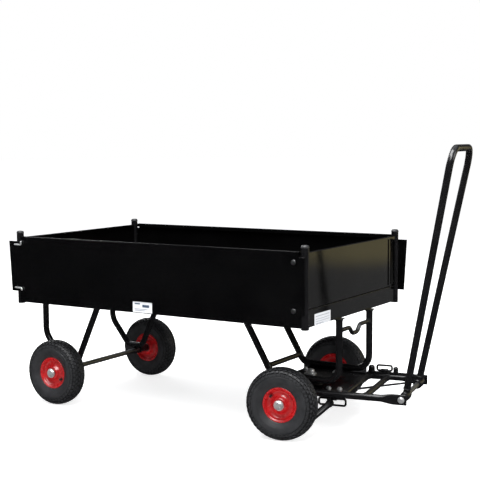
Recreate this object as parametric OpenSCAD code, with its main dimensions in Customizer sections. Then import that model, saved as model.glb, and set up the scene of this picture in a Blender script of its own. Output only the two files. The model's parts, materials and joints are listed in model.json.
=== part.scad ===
// Four-wheel platform hand cart with removable sheet steel sides.
// Millimetres. +X is forward (the handle end), +Y is the cart's left, +Z is up.
// The row's origin is on the ground, in the middle of the cart's box.
// Every module is drawn in the deck's own frame, whose origin is on the ground under the deck's
// centre, and row() moves it to the row's frame.

/* [Deck] */
// Length of the deck
deck_len = 1296; // [1100:4:1400]
// Width of the deck
deck_wid = 776; // [740:4:860]
// Height of the underside of the deck's edge rails
deck_low = 415; // [405:1:430]
// Height of the deck's edge rails
deck_rail_h = 62; // [50:1:75]
// Thickness of the deck sheet and its rails
deck_sheet_t = 2.5; // [2:0.5:4]

/* [Sides] */
// Height of the top of the side panels
side_top = 677; // [620:1:760]
// Height of the bottom of the side panels
side_low = 458; // [450:1:470]
// Height of the top of the end gates
gate_top = 672; // [620:1:750]
// Thickness of the panel sheet
panel_t = 2; // [1.5:0.5:3]
// Depth of the panel's folded edges
fold_depth = 15; // [8:1:16]
// Radius of the corner posts
post_r = 14; // [12:1:15]

/* [Wheels] */
// Outer radius of the tyres
tyre_r = 130; // [120:1:135]
// Width of the tyres at their widest
tyre_w = 78; // [70:1:84]
// Outer radius of the red rims
rim_r = 63; // [58:1:66]
// Radius of both axle rods
axle_r = 10; // [8:0.5:10]
// Half the track of the rear wheels
rear_track = 315; // [305:1:325]
// Half the track of the front wheels
front_track = 324; // [315:1:330]
// Distance of the rear axle behind the deck's centre
rear_axle_x = 520; // [500:1:540]

/* [Frame] */
// Outer radius of the frame tubes and the handle
tube_r = 12.5; // [11:0.5:13.5]
// Wall of the frame tubes
tube_wall = 2; // [1.5:0.5:3]
// Half the distance between the rear leg loops
rear_loop_y = 220; // [200:1:235]
// Half the distance between the front leg loops
front_loop_y = 127; // [115:1:135]

/* [Steering] */
// Distance of the kingpin ahead of the deck's centre
king_x = 465; // [455:1:475]
// Turn of the steering unit as it stands
steer_rest = 10; // [0:1:25]
// Radius of the turntable disc
disc_r = 85; // [70:1:95]
// Half the distance between the drawbar rails
rail_y = 175; // [165:1:182]
// Distance from the kingpin to the handle's pivot
pivot_x = 391; // [380:1:400]
// Height of the handle's pivot and the drawbar rails
pivot_z = 142; // [138:1:146]

/* [Handle] */
// Lean of the handle from upright as it stands
handle_lean = 11; // [5:1:20]
// Length of the handle along its slope
handle_len = 895; // [750:5:950]
// Half the width of the handle at its pivot
handle_foot_y = 105; // [95:1:110]
// Half the width of the handle at its top
handle_top_y = 180; // [150:1:190]
// Bend radius of the handle's top corners
handle_bend_r = 60; // [40:5:75]

/* [Hidden] */
$fn = 64;

// Running clearance of a shaft in its bore, and the gap between faces that turn past each other
run_fit = 0.05;
face_gap = 0.5;

deck_top = deck_low + deck_rail_h;
half_len = deck_len / 2;
half_wid = deck_wid / 2;
side_out = half_wid + 1 + panel_t;
gate_out = half_len + panel_t;
gate_low = deck_top + 3;
rail_lip = 24;

// The posts stand in the deck's corners, flush with the side rails
post_x = half_len - 5;
post_y = half_wid - post_r;
post_low = deck_low - 6;
post_top = side_top + 12;
cap_h = 10;
cap_wall = 0.8;
label_t = 0.6;

// The side panels end short of the posts at the top, and stand out past one end as an ear
notch_x = half_len - 20;
ear_top = 658;
ear_reach_top = 40;
ear_reach_low = 29;
gate_end = post_y - post_r - 3;
fold_lip = 14;
rib_w = 12;
rib_out = 3;

// Heights of the zinc hooks and bolts on the side panels
hook_high = 645;
hook_low = 473;
hook_r = 3;

// The cart's box runs from the ear at the back to the top of the handle, and the row's origin is
// under its middle
box_front = king_x + (pivot_x + handle_len * sin(handle_lean)) * cos(steer_rest)
    + handle_top_y * sin(steer_rest) + tube_r;
box_back = half_len + ear_reach_top;
row_x = round((box_front - box_back) / 2);

rim_lip_w = 27;
hub_len = 62;
hub_r = 17;
axle_z = tyre_r;

// The axle carries a spacer, the wheel and a washer, and its end takes a domed cap
washer_t = 3;
washer_r = 18;
cap_r = 19;
rod_stick = hub_len / 2 + face_gap + washer_t + 4;

front_run_z = 183;
leg_spare = 12;
leg_top = deck_low - 4;
pad_half = 28;
front_leg_x = half_len + 1;
front_slant_x = 237;
rear_leg_x = -half_len - 7;
rear_slant_x = -372;
rear_run_z = tyre_r + axle_r + tube_r;
plate_t = 5;
plate_top = front_run_z - tube_r;
plate_low = plate_top - plate_t;
disc_t = 5;
disc_top = plate_low - face_gap;
disc_low = disc_top - disc_t;
king_r = 10;
king_head_r = 18;
king_head_h = 6;
beam_x = 20;
beam_half = front_track - hub_len / 2 - 4;
stub_in = 24;
beam_low = axle_z - 18;
beam_top = axle_z + 18;

shaft_r = 9;
bush_r = 17;
bush_half = 16;
stub_len = 26;
collar_r = 16;
collar_t = 10;
rail_front = pivot_x + 18;
cross_x = [182, 258];
cross_r = 11;

wire_r = 4;
sleeve_r = 7;
pin_bar_z = pivot_z - 36;
lower_bail_y = -rail_y + 17.4;
lower_bail_z = pivot_z - 20;
strap_t = 5;
strap_top = pivot_z + tube_r + strap_t;
upper_bail_z = strap_top + sleeve_r - 1;

// How far a straight runs into a bend, and how many times fatter the bend is
bend_lap = 0.4;
bend_swell = 1.016;

// ---- Frames ----

module row() { translate([-row_x, 0, 0]) children(); }

module steered() { row() translate([king_x, 0, 0]) rotate([0, 0, steer_rest]) children(); }

// The handle's own frame: its origin is at the pivot, and its local X runs up the slope
module on_handle() {
    steered() translate([pivot_x, 0, pivot_z]) rotate([0, handle_lean, 0]) rotate([0, -90, 0]) children();
}

// Stands a drawing made in X and Y upright, so that its Y becomes Z, at a given Y of the cart
module upright(y) { translate([0, y, 0]) rotate([90, 0, 0]) children(); }

module both_sides() {
    for (side = [-1, 1]) scale_y(side) children();
}

module scale_y(side) {
    if (side > 0) children();
    else mirror([0, 1, 0]) children();
}

// ---- Shapes ----

function unit(v) = v / norm(v);
function turn_at(a, b, c) = let (u = unit(b - a), v = unit(c - b)) atan2(u.x * v.y - u.y * v.x, u * v);
function setback(a, b, c, r) = r * tan(abs(turn_at(a, b, c)) / 2);

// A round bar of radius r along a bent line in the XY plane, with a bend radius at each corner.
// A bend is a hair fatter than the straights, which run a little way into it.
module bent_bar(pts, bends, r) {
    last = len(pts) - 1;
    cut = [for (i = [0 : last])
        i == 0 || i == last ? 0 : setback(pts[i - 1], pts[i], pts[i + 1], bends[i])];
    for (i = [0 : last - 1]) {
        dir = unit(pts[i + 1] - pts[i]);
        head_lap = i == 0 ? 0 : bend_lap;
        tail_lap = i == last - 1 ? 0 : bend_lap;
        start = pts[i] + dir * (cut[i] - head_lap);
        span = norm(pts[i + 1] - pts[i]) - cut[i] - cut[i + 1] + head_lap + tail_lap;
        translate([start.x, start.y, 0]) rotate([0, 0, atan2(dir.y, dir.x)]) rotate([0, 90, 0])
            cylinder(h = span, r = r);
    }
    for (i = [1 : 1 : last - 1]) {
        dir = unit(pts[i] - pts[i - 1]);
        turn = turn_at(pts[i - 1], pts[i], pts[i + 1]);
        hand = turn > 0 ? 1 : -1;
        start = pts[i] - dir * cut[i];
        centre = start + bends[i] * hand * [-dir.y, dir.x];
        from = atan2(start.y - centre.y, start.x - centre.x);
        translate([centre.x, centre.y, 0]) rotate([0, 0, turn > 0 ? from : from + turn])
            rotate_extrude(angle = abs(turn)) translate([bends[i], 0]) circle(r = r * bend_swell);
    }
}

// A bent tube: the ends of the bore run a little past the ends of the tube
module bent_tube(pts, bends, r, wall) {
    last = len(pts) - 1;
    head = pts[0] + unit(pts[0] - pts[1]);
    tail = pts[last] + unit(pts[last] - pts[last - 1]);
    bore = [for (i = [0 : last]) i == 0 ? head : i == last ? tail : pts[i]];
    difference() {
        bent_bar(pts, bends, r);
        bent_bar(bore, bends, r - wall);
    }
}

module box(low, high) { translate(low) cube(high - low); }

module rod_y(r, y0, y1) { translate([0, y0, 0]) rotate([-90, 0, 0]) cylinder(r = r, h = y1 - y0); }

module rod_x(r, x0, x1) { translate([x0, 0, 0]) rotate([0, 90, 0]) cylinder(r = r, h = x1 - x0); }

module tube_y(r, wall, y0, y1) {
    difference() {
        rod_y(r, y0, y1);
        rod_y(r - wall, y0 - 1, y1 + 1);
    }
}

module hex_bolt_z(r, h) { cylinder(r = r, h = h, $fn = 6); }

// A steel channel along X: web on the outside at y = 0, flanges inward to y = depth
module channel_x(x0, x1, low, high, depth, wall) {
    difference() {
        box([x0, 0, low], [x1, depth, high]);
        box([x0 - 1, wall, low + wall], [x1 + 1, depth + 1, high - wall]);
    }
}

// ---- Deck ----

// At each corner post, mirrored so that +X and +Y point outward
module at_corners() {
    for (x = [0, 1]) for (y = [0, 1]) mirror([x, 0, 0]) mirror([0, y, 0])
        translate([post_x, post_y, 0]) children();
}

module deck_sheet() {
    color("#1b1b1d") row() difference() {
        box([-half_len, -half_wid, deck_top - deck_sheet_t], [half_len, half_wid, deck_top]);
        at_corners() {
            cylinder(r = post_r, h = deck_top + 1);
            translate([0, -post_r, 0]) cube([post_r, post_r * 2, deck_top + 1]);
            translate([-post_r, 0, 0]) cube([post_r * 2, post_r, deck_top + 1]);
        }
    }
}

module deck_edge_rails() {
    top = deck_top - deck_sheet_t;
    long_end = post_x - 6;
    short_end = post_y - post_r;
    color("#17171a") row() difference() {
        for (turn = [0, 180]) rotate([0, 0, turn]) {
            translate([0, -half_wid, 0])
                channel_x(-long_end, long_end, deck_low, top, rail_lip, deck_sheet_t);
            translate([half_len, 0, 0]) rotate([0, 0, 90])
                channel_x(-short_end, short_end, deck_low, top, rail_lip, deck_sheet_t);
        }
        at_corners() translate([0, 0, deck_low - 1]) cylinder(r = post_r, h = deck_rail_h + 2);
    }
}

// Channels across the deck, one over each pair of slanting legs and one between them
module deck_cross_members() {
    top = deck_top - deck_sheet_t;
    reach = half_wid - rail_lip - 1;
    wall = 2.5;
    centres = [rear_slant_x, (rear_slant_x + front_slant_x) / 2, front_slant_x];
    color("#161618") row() for (x = centres) difference() {
        box([x - pad_half, -reach, deck_low], [x + pad_half, reach, top]);
        box([x - pad_half + wall, -reach - 1, deck_low + wall], [x + pad_half - wall, reach + 1, top + 1]);
    }
}

module corner_posts() {
    color("#18181b") row() at_corners() difference() {
        translate([0, 0, post_low]) cylinder(r = post_r, h = post_top - post_low);
        translate([0, 0, post_low - 1]) cylinder(r = post_r - tube_wall, h = post_top - post_low + 2);
    }
}

module post_caps() {
    color("#0e0e0f") row() at_corners() {
        translate([0, 0, post_top]) rotate_extrude() polygon([
            [0, 0], [post_r + cap_wall, 0], [post_r + cap_wall, cap_h - 4],
            [post_r - 1, cap_h - 1], [post_r - 5, cap_h], [0, cap_h]
        ]);
        translate([0, 0, post_top - 12]) cylinder(r = post_r - tube_wall, h = 12);
    }
}

module blank_labels() {
    color("#d8dadb") row() {
        box([-75, -half_wid - label_t, deck_low + 3], [13, -half_wid, deck_low + 44]);
        box([half_len, -315, deck_low + 1], [half_len + label_t, -195, deck_low + 41]);
    }
}

// ---- Legs ----

// A bent tube in the plane at y, with both its ends run on and then cut off level at leg_top
module leg_loop(line, bends, y) {
    last = len(line) - 1;
    head = line[0] + unit(line[0] - line[1]) * leg_spare;
    tail = line[last] + unit(line[last] - line[last - 1]) * leg_spare;
    long = [for (i = [0 : last]) i == 0 ? head : i == last ? tail : line[i]];
    row() difference() {
        upright(y) bent_tube(long, bends, tube_r, tube_wall);
        box([rear_leg_x - 30, y - 30, leg_top], [front_leg_x + 30, y + 30, leg_top + 30]);
    }
}

module rear_leg_loop(y) {
    line = [
        [rear_leg_x, leg_top], [rear_leg_x, 262], [-568, rear_run_z], [-492, rear_run_z],
        [rear_slant_x, leg_top]
    ];
    color("#1a1a1d") leg_loop(line, [0, 80, 36, 32, 0], y);
}

module rear_leg_loop_right() { rear_leg_loop(-rear_loop_y); }

module rear_leg_loop_left() { rear_leg_loop(rear_loop_y); }

module front_leg_loop(y) {
    line = [
        [front_slant_x, leg_top], [369, front_run_z], [front_leg_x, front_run_z],
        [front_leg_x, leg_top]
    ];
    color("#1a1a1d") leg_loop(line, [0, 42, 58, 0], y);
}

module front_leg_loop_right() { front_leg_loop(-front_loop_y); }

module front_leg_loop_left() { front_leg_loop(front_loop_y); }

module rear_cross_tube() {
    reach = rear_loop_y - tube_r;
    color("#19191c") row() translate([rear_leg_x, 0, leg_top - 8]) rod_y(8, -reach, reach);
}

// The bar between the front legs dips in the middle to take the hook of a load strap
module front_cross_bar() {
    reach = front_loop_y - tube_r;
    line = [[-reach, 0], [-44, 0], [-20, -25], [20, -25], [44, 0], [reach, 0]];
    color("#19191c") row() translate([front_leg_x, 0, 370]) rotate([90, 0, 90])
        bent_bar(line, [0, 22, 22, 22, 22, 0], 8);
}

module front_loop_cross_tube() {
    reach = front_loop_y - tube_r;
    color("#19191c") row() translate([352, 0, 212]) tube_y(10, 2, -reach, reach);
}

// Plates between the tops of the legs and the deck: the leg tubes stop at their undersides
module leg_pads() {
    tops = [
        [rear_leg_x, rear_loop_y], [rear_slant_x, rear_loop_y],
        [front_slant_x, front_loop_y], [front_leg_x, front_loop_y]
    ];
    color("#161618") row() both_sides() for (p = tops) {
        low_x = max(p.x - pad_half, rear_leg_x - tube_r);
        high_x = min(p.x + pad_half, front_leg_x + tube_r);
        box([low_x, p.y - 20, leg_top], [high_x, p.y + 20, deck_low]);
    }
}

// ---- Rear axle ----

module rear_axle_rod() {
    end = rear_track + rod_stick;
    color("#2a2a2c") row() translate([-rear_axle_x, 0, axle_z]) rod_y(axle_r, -end, end);
}

// Saddles welded under the loops hold the rod, and tubes space the wheels off them
module rear_axle_saddles() {
    inner = rear_track - hub_len / 2 - face_gap;
    color("#19191c") row() both_sides() translate([-rear_axle_x, 0, axle_z]) {
        difference() {
            union() {
                box([-17, rear_loop_y - 11, -15], [7, rear_loop_y + 11, axle_r]);
                rod_y(15, rear_loop_y + 11, inner);
            }
            rod_y(axle_r, 0, inner + 1);
        }
    }
}

module axle_ends(track) {
    start = track + hub_len / 2 + face_gap;
    both_sides() {
        difference() {
            rod_y(washer_r, start, start + washer_t);
            rod_y(axle_r, 0, start + washer_t + 1);
        }
        translate([0, start + washer_t, 0]) rotate([-90, 0, 0]) rotate_extrude() polygon([
            [axle_r, 0], [cap_r - 4, 0], [cap_r - 4, 1.5], [cap_r - 5, 4], [cap_r - 9, 7],
            [5, 8.5], [0, 9], [0, 4], [axle_r, 4]
        ]);
    }
}

module rear_axle_caps() {
    color("#c9cccf") row() translate([-rear_axle_x, 0, axle_z]) axle_ends(rear_track);
}

// ---- Turntable ----

module turntable_top_plate() {
    reach = front_loop_y + 14;
    color("#17171a") row() translate([king_x, 0, 0]) difference() {
        box([-70, -reach, plate_low], [112, reach, plate_top]);
        translate([0, 0, plate_low - 1]) cylinder(r = king_r, h = plate_t + 2);
    }
}

module top_plate_bolts() {
    color("#c9cccf") row() translate([king_x, 0, 0]) for (x = [-58, 70]) for (y = [-70, 70])
        translate([x, y, plate_top]) hex_bolt_z(8, 7);
}

module kingpin() {
    head_low = beam_low - face_gap - king_head_h;
    color("#8d9093") row() translate([king_x, 0, 0]) {
        translate([0, 0, head_low - 7]) cylinder(r = king_r, h = plate_top + 10 - head_low + 7);
        translate([0, 0, head_low]) cylinder(r = king_head_r, h = king_head_h);
    }
}

module kingpin_nut() {
    color("#d3d6d8") row() translate([king_x, 0, plate_top]) difference() {
        union() {
            cylinder(r = 23, h = 4);
            rotate_extrude() polygon([
                [0, 4], [15, 4], [15, 14], [13, 17], [8, 19.5], [0, 20.5]
            ]);
        }
        translate([0, 0, -1]) cylinder(r = king_r, h = 11);
    }
}

module turntable_disc() {
    color("#1b1b1e") steered() difference() {
        translate([0, 0, disc_low]) cylinder(r = disc_r, h = disc_t, $fn = 96);
        translate([0, 0, disc_low - 1]) cylinder(r = king_r + run_fit, h = disc_t + 2);
    }
}

module turntable_hub() {
    color("#18181b") steered() difference() {
        union() {
            translate([0, 0, beam_top]) cylinder(r = 30, h = disc_low - beam_top);
            for (x = [-24, 18]) box([x, -80, beam_top], [x + 6, 80, disc_low]);
        }
        translate([0, 0, beam_top - 1]) cylinder(r = king_r + run_fit, h = disc_low - beam_top + 2);
    }
}

// ---- Front axle ----

module front_axle_beam() {
    wall = 4;
    color("#19191c") steered() difference() {
        union() {
            difference() {
                box([-beam_x, -beam_half, beam_low], [beam_x, beam_half, beam_top]);
                box([-beam_x + wall, -beam_half - 1, beam_low - 1],
                    [beam_x - wall, beam_half + 1, beam_top - wall]);
            }
            translate([0, 0, beam_low]) cylinder(r = 22 - wall, h = beam_top - beam_low);
            both_sides() for (y = [stub_in, beam_half - 6])
                box([-beam_x, y, beam_low], [beam_x, y + 6, beam_top]);
        }
        translate([0, 0, beam_low - 1]) cylinder(r = king_r + run_fit, h = beam_top - beam_low + 2);
        translate([0, 0, axle_z]) both_sides() rod_y(axle_r, stub_in, beam_half + 1);
    }
}

// Two stub axles, one in each end of the beam, so that the kingpin passes between them
module front_axle_rod() {
    end = front_track + rod_stick;
    inner = front_track - hub_len / 2 - face_gap;
    color("#2a2a2c") steered() translate([0, 0, axle_z]) both_sides() {
        rod_y(axle_r, stub_in, end);
        difference() {
            rod_y(15, beam_half, inner);
            rod_y(axle_r, stub_in, inner + 1);
        }
    }
}

module front_axle_caps() {
    color("#c9cccf") steered() translate([0, 0, axle_z]) axle_ends(front_track);
}

// ---- Drawbar ----

// A rail is a round tube whose front end is pressed flat and drilled for the pivot shaft
module drawbar_rail() {
    flat_half = 5;
    flat_start = rail_front - 50;
    difference() {
        union() {
            translate([0, rail_y, pivot_z]) difference() {
                rod_x(tube_r, beam_x, flat_start);
                rod_x(tube_r - tube_wall, beam_x - 1, flat_start - 3);
            }
            box([flat_start - 8, rail_y - flat_half, pivot_z - 19],
                [rail_front, rail_y + flat_half, pivot_z + 18]);
        }
        translate([pivot_x, 0, pivot_z]) rod_y(shaft_r, rail_y - 20, rail_y + 20);
    }
}

module drawbar_rail_right() { color("#1c1c20") steered() scale_y(-1) drawbar_rail(); }

module drawbar_rail_left() { color("#1c1c20") steered() drawbar_rail(); }

module drawbar_cross_tubes() {
    reach = rail_y - tube_r;
    color("#1a1a1d") steered() for (x = cross_x) translate([x, 0, pivot_z])
        tube_y(cross_r, 2, -reach, reach);
}

// Sheet between the rails, from the axle beam to the first cross tube
module drawbar_plate() {
    plate_z = beam_top - 5;
    color("#19191b") steered() difference() {
        box([beam_x, -rail_y + 8, plate_z], [cross_x[0] - 7, rail_y - 8, plate_z + 4]);
        rails_cut();
        translate([cross_x[0], 0, pivot_z]) rod_y(cross_r, -rail_y, rail_y);
    }
}

// A thin brace that runs slantwise under the cross tubes to the left rail
module drawbar_tie_rod() {
    rod_z = pivot_z - cross_r - 4;
    brace_start = [158, -29];
    brace_end = [344, rail_y];
    reach = brace_end - brace_start;
    color("#232326") steered() difference() {
        translate([brace_start[0], brace_start[1], rod_z]) rotate([0, 0, atan2(reach[1], reach[0])])
            rod_x(4, 0, norm(reach));
        rails_cut();
    }
}

module drawbar_bolts() {
    color("#c9cccf") steered() {
        for (x = [106, 148]) translate([x, -112, beam_top - 1]) hex_bolt_z(8, 7);
        both_sides() translate([pivot_x, rail_y + 5, pivot_z]) rotate([-90, 0, 0]) hex_bolt_z(12, 7);
    }
}

module handle_pivot_shaft() {
    color("#3a3a3d") steered() translate([pivot_x, 0, pivot_z]) rod_y(shaft_r, -rail_y - 5, rail_y + 5);
}

module pivot_collars() {
    near = handle_foot_y - bush_half - face_gap;
    far = handle_foot_y + bush_half + face_gap;
    color("#1b1b1e") steered() translate([pivot_x, 0, pivot_z]) both_sides() {
        difference() {
            union() {
                rod_y(collar_r, near - collar_t, near);
                rod_y(collar_r, far, far + collar_t);
            }
            rod_y(shaft_r, 0, far + collar_t + 1);
        }
    }
}

module rails_cut() {
    both_sides() translate([0, rail_y, pivot_z]) rod_x(tube_r, beam_x, rail_front - 60);
}

// A bar that slopes down from a collar under the right rail, and the sleeve that its bail swings in
module lower_pin_bar() {
    slope = 110;
    turn = -112.5;
    color("#1b1b1e") steered() difference() {
        union() {
            translate([128, 0, pin_bar_z]) {
                rod_y(14, -rail_y - 4, -rail_y + 12);
                translate([0, -rail_y, 0]) rotate([0, slope, turn]) cylinder(r = 12, h = 100);
            }
            box([120, -rail_y - 4, pin_bar_z], [136, -rail_y + 4, pivot_z]);
            box([121, -rail_y, lower_bail_z - 3], [135, lower_bail_y, lower_bail_z + 3]);
            translate([0, lower_bail_y, lower_bail_z]) rod_x(sleeve_r, 118, 150);
        }
        rails_cut();
        translate([0, lower_bail_y, lower_bail_z]) rod_x(wire_r + run_fit, 116, 152);
    }
}

// A strap along the left rail with two pin heads on it, and the sleeve that the second bail swings in
module upper_pin_boss() {
    color("#232326") steered() difference() {
        union() {
            box([176, rail_y - 9, pivot_z + 4], [348, rail_y + 9, strap_top]);
            for (pin = [[287, 9.5], [192, 12.5]]) translate([pin[0], rail_y, strap_top - 1])
                rotate_extrude() polygon([
                    [0, 0], [pin[1], 0], [pin[1], 18], [pin[1] - 3, 23], [pin[1] - 6, 25], [0, 25]
                ]);
            translate([0, rail_y, upper_bail_z]) rod_x(sleeve_r, 230, 256);
        }
        rails_cut();
        translate([0, rail_y, upper_bail_z]) rod_x(wire_r + run_fit, 228, 258);
    }
}

// A wire loop whose ends meet inside its sleeve; deep is how far it reaches from the sleeve
module bail(x0, x1, deep) {
    mid = (x0 + x1) / 2;
    line = [[mid + 0.5, 0], [x1, 0], [x1, deep], [x0, deep], [x0, 0], [mid - 0.5, 0]];
    upright(0) bent_bar(line, [0, 7, 7, 7, 7, 0], wire_r);
}

module lower_bail() {
    color("#2d2d30") steered() translate([0, lower_bail_y, lower_bail_z]) bail(84, 184, -24);
}

module upper_bail() {
    color("#2d2d30") steered() translate([0, rail_y, upper_bail_z]) bail(214, 272, 20);
}

// ---- Handle ----

// Both legs lean outward, and each stands on the stub of its bush
module handle_tube() {
    foot = [0, handle_foot_y] + unit([handle_len, handle_top_y - handle_foot_y]) * stub_len;
    line = [
        [foot.x, -foot.y], [handle_len, -handle_top_y], [handle_len, handle_top_y], foot
    ];
    bends = [0, handle_bend_r, handle_bend_r, 0];
    color("#1c1c1f") on_handle() bent_tube(line, bends, tube_r, tube_wall);
}

module handle_bushes() {
    splay = atan((handle_top_y - handle_foot_y) / handle_len);
    color("#1b1b1e") on_handle() both_sides() difference() {
        union() {
            rod_y(bush_r, handle_foot_y - bush_half, handle_foot_y + bush_half);
            translate([0, handle_foot_y, 0]) rotate([0, 0, splay]) rod_x(tube_r, 0, stub_len);
        }
        rod_y(shaft_r + run_fit, 0, handle_foot_y + bush_half + 1);
    }
}

// ---- Panels ----

// The right side panel. Its rear end has two pressed ribs and an ear past the rear gate.
module side_panel() {
    inner = -side_out + panel_t;
    fold_x = post_x - post_r - 3;
    rib_x = [-half_len + 8, -half_len + 40];
    front = half_len + 2;
    outline = [
        [-notch_x, side_top], [notch_x, side_top], [notch_x, ear_top], [front, ear_top],
        [front, side_low], [-half_len - ear_reach_low, side_low],
        [-half_len - ear_reach_top, ear_top], [-notch_x, ear_top]
    ];
    translate([0, inner, 0]) rotate([90, 0, 0]) linear_extrude(panel_t) polygon(outline);
    box([-fold_x, inner, side_top - panel_t], [fold_x, inner + fold_depth, side_top]);
    box([-fold_x, inner + fold_depth - panel_t, side_top - fold_lip],
        [fold_x, inner + fold_depth, side_top]);
    box([-fold_x, inner, gate_low], [fold_x, inner + fold_depth, gate_low + panel_t]);
    for (x = rib_x)
        box([x, -side_out - rib_out, side_low + 10], [x + rib_w, -side_out, ear_top - 4]);
}

module side_panel_right() { color("#18181b") row() side_panel(); }

module side_panel_left() { color("#18181b") row() rotate([0, 0, 180]) side_panel(); }

// The front gate stands on the deck between the posts, with pressed ribs near its left end
module end_gate() {
    inner = gate_out - panel_t;
    rib_y = [296, 322];
    box([inner, -gate_end, gate_low], [gate_out, gate_end, gate_top]);
    for (z = [gate_low, gate_top - panel_t]) box([inner - fold_depth, -gate_end, z],
        [inner, gate_end, z + panel_t]);
    for (y = [-gate_end, gate_end - panel_t]) box([inner - fold_depth, y, gate_low],
        [inner, y + panel_t, gate_top]);
    for (y = rib_y) box([gate_out, y, gate_low + 6], [gate_out + rib_out, y + rib_w, gate_top - 6]);
}

module front_gate() { color("#18181b") row() end_gate(); }

module rear_gate() { color("#18181b") row() rotate([0, 0, 180]) end_gate(); }

// Zinc wire hooks across the ear, with a short turned end
module panel_hooks() {
    out = -side_out - hook_r - 3;
    for (z = [hook_high, hook_low]) {
        tip = z == hook_high ? 14 : -10;
        translate([0, out, z]) rotate([90, 0, 0])
            bent_bar([[-half_len - 8, 0], [-half_len + 28, 0], [-half_len + 28, tip]], [0, 6, 0], hook_r);
        translate([-half_len - 8, 0, z]) rod_y(hook_r, out, -side_out);
    }
}

module panel_hooks_right() { color("#d0d3d6") row() panel_hooks(); }

module panel_hooks_left() { color("#d0d3d6") row() rotate([0, 0, 180]) panel_hooks(); }

module panel_bolts() {
    for (z = [hook_high - 5, hook_low]) translate([half_len - 40, -side_out, z]) rotate([90, 0, 0]) {
        cylinder(r = 9, h = 1.5);
        translate([0, 0, 1.5]) hex_bolt_z(7, 5);
    }
}

module panel_bolts_right() { color("#d0d3d6") row() panel_bolts(); }

module panel_bolts_left() { color("#d0d3d6") row() rotate([0, 0, 180]) panel_bolts(); }

// ---- Wheels ----

// The outline of a tyre's section: half widths along a, radii along r, from the bead round
// the tread to the other bead, then back along the inside
function tyre_point(angle, inset) =
    let (mid_r = (tyre_r + rim_r) / 2 + 2, half_h = tyre_r - mid_r - inset)
    let (half_w = tyre_w / 2 - inset, c = cos(angle), s = sin(angle))
    [sign(c) * pow(abs(c), 0.72) * half_w, mid_r + sign(s) * pow(abs(s), 0.8) * half_h];

module tyre() {
    outer = [for (i = [0 : 28]) tyre_point(-52 + i * 284 / 28, 0)];
    inner = [for (i = [0 : 20]) tyre_point(232 - i * 284 / 20, 6)];
    rotate([-90, 0, 0]) rotate_extrude($fn = 96) polygon([for (p = concat(outer, inner)) [p.y, p.x]]);
}

// Both pressed halves of the rim: a rolled lip, a bead seat, a dish and the hub's seat
module rim() {
    half = [
        [hub_r, 27], [25, 25], [34, 15], [44, 10], [52, 13], [54, 20], [56, 24], [rim_r - 3, rim_lip_w],
        [rim_r, rim_lip_w - 1], [rim_r, rim_lip_w - 4], [58, 20], [56.5, 12], [52, 0]
    ];
    lower = [for (i = [len(half) - 1 : -1 : 0]) [half[i].x, -half[i].y]];
    rotate([-90, 0, 0]) rotate_extrude($fn = 96) polygon(concat(half, lower));
    valve();
}

module valve() {
    translate([-40, 8, 26]) rod_y(4, 0, 16);
}

module hub() {
    rotate([-90, 0, 0]) translate([0, 0, -hub_len / 2]) difference() {
        cylinder(r = hub_r, h = hub_len);
        translate([0, 0, -1]) cylinder(r = axle_r + run_fit, h = hub_len + 2);
    }
}

module at_rear(side) {
    row() translate([-rear_axle_x, side * rear_track, axle_z]) scale_y(side) children();
}

module at_front(side) {
    steered() translate([0, side * front_track, axle_z]) scale_y(side) children();
}

module rear_right_tyre() { color("#2b2c2e") at_rear(-1) tyre(); }
module rear_right_rim() { color("#c8101a") at_rear(-1) rim(); }
module rear_right_hub() { color("#9a9da0") at_rear(-1) hub(); }
module rear_left_tyre() { color("#2b2c2e") at_rear(1) tyre(); }
module rear_left_rim() { color("#c8101a") at_rear(1) rim(); }
module rear_left_hub() { color("#9a9da0") at_rear(1) hub(); }
module front_right_tyre() { color("#2b2c2e") at_front(-1) tyre(); }
module front_right_rim() { color("#c8101a") at_front(-1) rim(); }
module front_right_hub() { color("#9a9da0") at_front(-1) hub(); }
module front_left_tyre() { color("#2b2c2e") at_front(1) tyre(); }
module front_left_rim() { color("#c8101a") at_front(1) rim(); }
module front_left_hub() { color("#9a9da0") at_front(1) hub(); }

deck_sheet();
deck_edge_rails();
deck_cross_members();
corner_posts();
post_caps();
rear_leg_loop_right();
rear_leg_loop_left();
front_leg_loop_right();
front_leg_loop_left();
rear_cross_tube();
front_loop_cross_tube();
front_cross_bar();
leg_pads();
rear_axle_rod();
rear_axle_saddles();
rear_axle_caps();
turntable_top_plate();
top_plate_bolts();
kingpin();
kingpin_nut();
blank_labels();
side_panel_right();
side_panel_left();
rear_gate();
front_gate();
panel_hooks_right();
panel_hooks_left();
panel_bolts_right();
panel_bolts_left();
turntable_disc();
turntable_hub();
front_axle_beam();
front_axle_rod();
front_axle_caps();
drawbar_rail_right();
drawbar_rail_left();
drawbar_cross_tubes();
drawbar_plate();
drawbar_tie_rod();
drawbar_bolts();
handle_pivot_shaft();
pivot_collars();
lower_pin_bar();
upper_pin_boss();
lower_bail();
upper_bail();
handle_tube();
handle_bushes();
rear_right_tyre();
rear_right_rim();
rear_right_hub();
rear_left_tyre();
rear_left_rim();
rear_left_hub();
front_right_tyre();
front_right_rim();
front_right_hub();
front_left_tyre();
front_left_rim();
front_left_hub();
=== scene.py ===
"""Looks for the four-wheel steel hand cart: formed tubes, pressed wheels, block-tread tyres and paint."""

import json
import math

import bmesh
import bpy
from mathutils import Matrix, Vector, noise

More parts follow.
